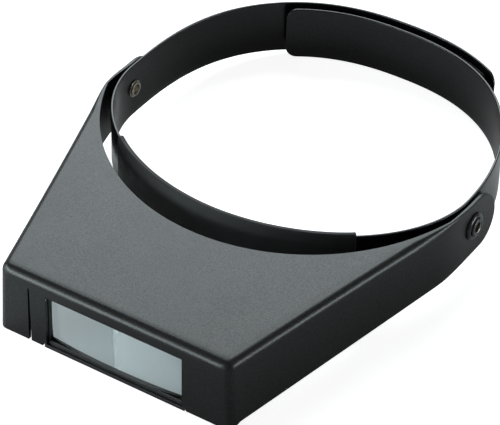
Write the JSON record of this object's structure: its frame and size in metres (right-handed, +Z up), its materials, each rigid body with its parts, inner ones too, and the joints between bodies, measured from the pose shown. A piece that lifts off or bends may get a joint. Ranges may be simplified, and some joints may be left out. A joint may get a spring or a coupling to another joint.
{
  "type": "head visor magnifier",
  "caption": "Head-worn magnifier: a tilting hood with a convex lens in a slide-out frame at its front, riveted to a padded headband that closes with tape at the back.",
  "frame": {"origin": "under the middle of the bounding box, on the plane the part stands on", "axes": "+Z up; -Y is the way the hood's window faces and the wearer looks; +X is the side of the right pivot in the picture"},
  "size_m": [0.1848, 0.2394, 0.0391],
  "materials": {
    "hood": "satin black moulding with a fine grain",
    "strip": "satin black flexible strip",
    "tape": "black hook and loop pile",
    "foam": "dark grey foam",
    "sleeve": "black imitation leather",
    "eyelet": "aged brass",
    "cup": "black domed ring",
    "spacer": "dark nylon",
    "frame": "black moulding",
    "lens": "clear moulded lens"
  },
  "bodies": {
    "headband": {"headband_strip": "strip", "hook_patch": "tape", "loop_patch": "tape", "forehead_foam": "foam", "forehead_cover": "sleeve", "pivot_eyelet_left": "eyelet", "pivot_eyelet_right": "eyelet", "pivot_cup_left": "cup", "pivot_cup_right": "cup", "pivot_spacer_left": "spacer", "pivot_spacer_right": "spacer", "pivot_washer_left": "eyelet", "pivot_washer_right": "eyelet"},
    "visor": {"visor_shell": "hood"},
    "lens_carrier": {"lens_frame": "frame", "lens_left": "lens", "lens_right": "lens"}
  },
  "joints": [
    {"name": "visor_tilt", "type": "hinge", "parent": "headband", "child": "visor", "pos_m": [0, 0.02014, 0.02065], "axis": [1, 0, 0], "range_deg": [-70, 25]},
    {"name": "lens_slide", "type": "slide", "parent": "visor", "child": "lens_carrier", "axis": [0, -0.0665, -0.9978], "range_m": [0, 0.034]}
  ]
}
